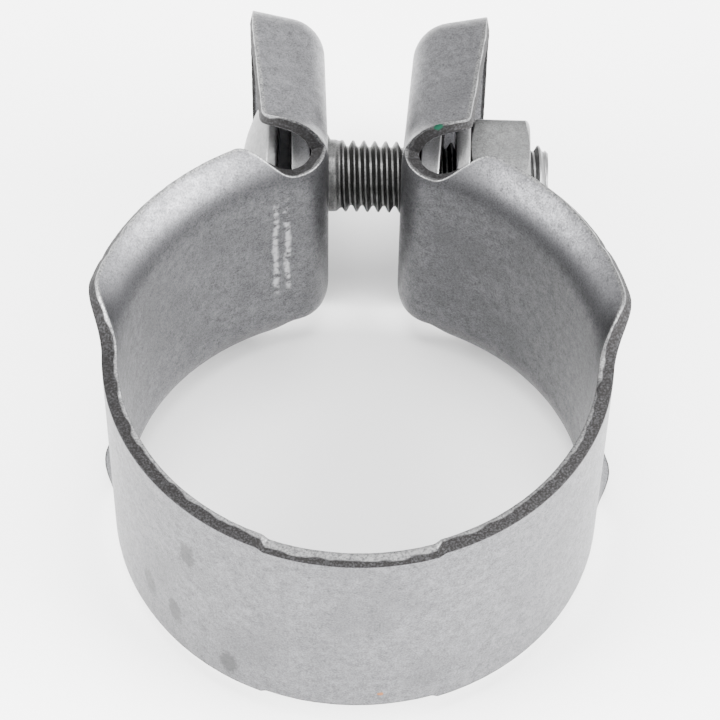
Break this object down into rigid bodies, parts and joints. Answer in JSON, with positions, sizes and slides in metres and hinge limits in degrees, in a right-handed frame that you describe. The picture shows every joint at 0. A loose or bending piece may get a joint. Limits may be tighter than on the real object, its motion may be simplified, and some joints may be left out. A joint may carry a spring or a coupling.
{
  "type": "exhaust clamp",
  "caption": "Band clamp for an exhaust pipe joint: a stamped strap with rolled lips and pressed ears, drawn up by a carriage bolt, nut and washers.",
  "frame": {"origin": "on the pipe axis, at the middle of the strap's width", "axes": "+Z along the pipe axis, +Y from the pipe towards the ears, +X along the bolt from its head to its nut"},
  "size_m": [0.0688, 0.0924, 0.0404],
  "materials": {
    "strap": "satin mill-finish stainless sheet with sheared edges",
    "head_side_washer": "smooth dull zinc-plated steel",
    "nut_side_washer": "smooth dull zinc-plated steel",
    "bolt": "dull grey plated steel, darker in the thread",
    "nut_washer": "smooth dull zinc-plated steel",
    "nut": "dull mottled grey plated steel"
  },
  "bodies": {
    "strap": {"strap": "strap", "head_side_washer": "head_side_washer", "nut_side_washer": "nut_side_washer"},
    "bolt": {"bolt": "bolt"},
    "nut_washer": {"nut_washer": "nut_washer"},
    "nut": {"nut": "nut"}
  },
  "joints": [
    {"name": "bolt_slide", "type": "slide", "parent": "strap", "child": "bolt", "axis": [1, 0, 0], "range_m": [0, 0.0009]},
    {"name": "nut_travel", "type": "slide", "parent": "bolt", "child": "nut_washer", "axis": [1, 0, 0], "range_m": [-0.00112, 0.006]},
    {"name": "nut_turn", "type": "hinge", "parent": "nut_washer", "child": "nut", "pos_m": [0, 0.0427, 0], "axis": [1, 0, 0], "range_deg": [-270, 1440]}
  ],
  "couplings": [
    {"joint": "nut_turn", "follows": "nut_travel", "rad_per_m": 4188.8}
  ]
}
